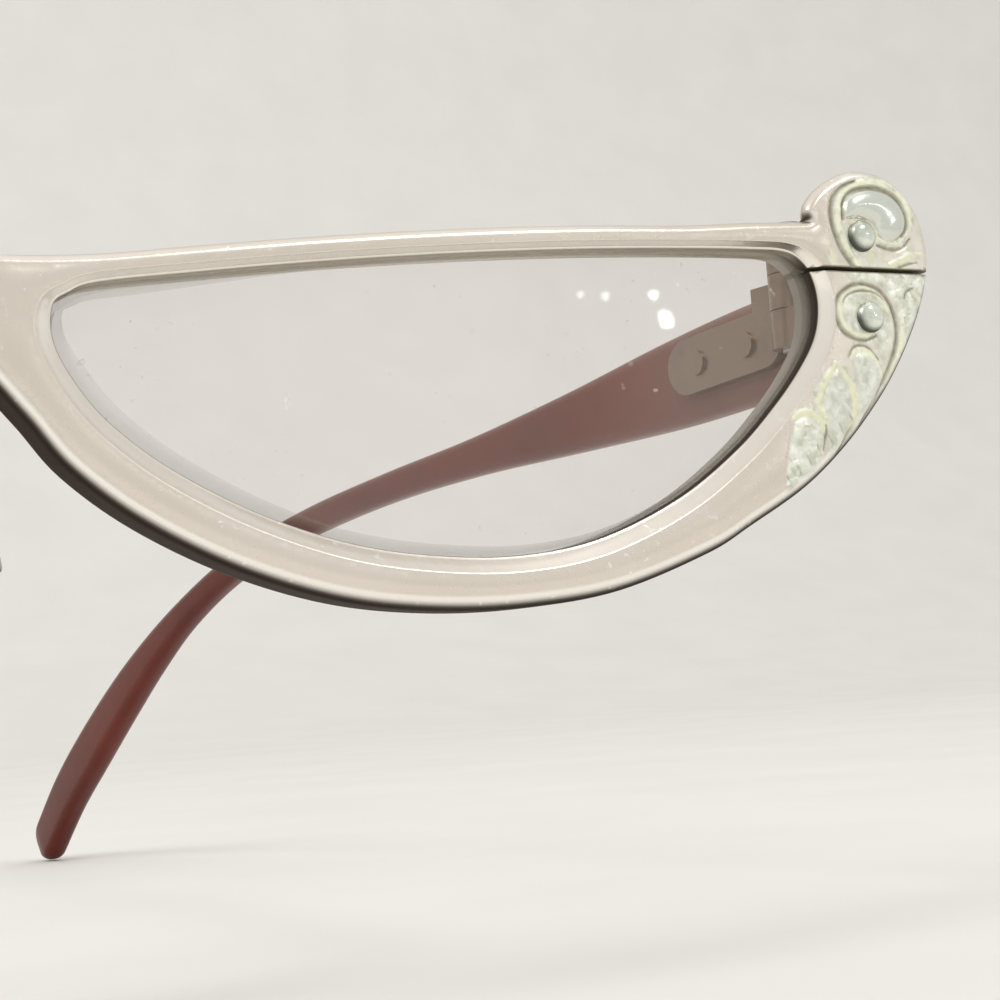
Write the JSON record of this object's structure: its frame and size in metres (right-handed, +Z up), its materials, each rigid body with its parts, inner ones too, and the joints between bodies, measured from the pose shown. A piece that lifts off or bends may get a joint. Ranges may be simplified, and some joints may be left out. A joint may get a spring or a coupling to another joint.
{
  "type": "reading glasses",
  "caption": "Half-moon reading glasses with a swept-up metal front, riveted endpieces with a saw cut, hinged slim plastic temples and screwed nose pads.",
  "frame": {"origin": "under the middle of the glasses as worn, at the level of the temple tips", "axes": "+Z up as worn, -Y the way the front faces, +Y back along the temples, +X to the viewer's right"},
  "size_m": [0.1304, 0.1416, 0.0471],
  "materials": {
    "front_aluminium": "polished, with a pale champagne tint and engraved endpieces",
    "lens_glass": "clear, polished",
    "arm_steel": "plated wire",
    "pad_plastic": "clear, slightly yellowed",
    "screw_steel": "turned, with a slotted head",
    "hinge_metal": "nickel silver, drawn",
    "rivet_metal": "polished round heads",
    "temple_plastic": "burgundy, polished",
    "core_steel": "drawn wire"
  },
  "bodies": {
    "front": {"front_frame": "front_aluminium", "lens_left": "lens_glass", "lens_right": "lens_glass", "pad_arm_left": "arm_steel", "pad_arm_right": "arm_steel", "pad_screw_left": "screw_steel", "pad_screw_right": "screw_steel", "upper_hinge_leaf_left": "hinge_metal", "upper_hinge_leaf_right": "hinge_metal", "lower_hinge_leaf_left": "hinge_metal", "lower_hinge_leaf_right": "hinge_metal", "endpiece_rivets_left": "rivet_metal", "endpiece_rivets_right": "rivet_metal", "hinge_screw_left": "screw_steel", "hinge_screw_right": "screw_steel"},
    "pad_left": {"nose_pad_left": "pad_plastic"},
    "pad_right": {"nose_pad_right": "pad_plastic"},
    "temple_left": {"temple_left": "temple_plastic", "temple_core_left": "core_steel", "temple_hinge_plate_left": "hinge_metal", "temple_rivets_left": "rivet_metal"},
    "temple_right": {"temple_right": "temple_plastic", "temple_core_right": "core_steel", "temple_hinge_plate_right": "hinge_metal", "temple_rivets_right": "rivet_metal"}
  },
  "joints": [
    {"name": "fold_left", "type": "hinge", "parent": "front", "child": "temple_left", "pos_m": [-0.05764, -0.06288, 0.04045], "axis": [0, 0, -1], "range_deg": [0, 74]},
    {"name": "fold_right", "type": "hinge", "parent": "front", "child": "temple_right", "pos_m": [0.05764, -0.06288, 0.04045], "axis": [0, 0, 1], "range_deg": [0, 79]},
    {"name": "pad_turn_left", "type": "hinge", "parent": "front", "child": "pad_left", "pos_m": [-0.00671, -0.06125, 0.02548], "axis": [0.9069, 0.3664, -0.2079], "range_deg": [-10, 10]},
    {"name": "pad_turn_right", "type": "hinge", "parent": "front", "child": "pad_right", "pos_m": [0.00671, -0.06125, 0.02548], "axis": [-0.9069, 0.3664, -0.2079], "range_deg": [-10, 10]}
  ]
}
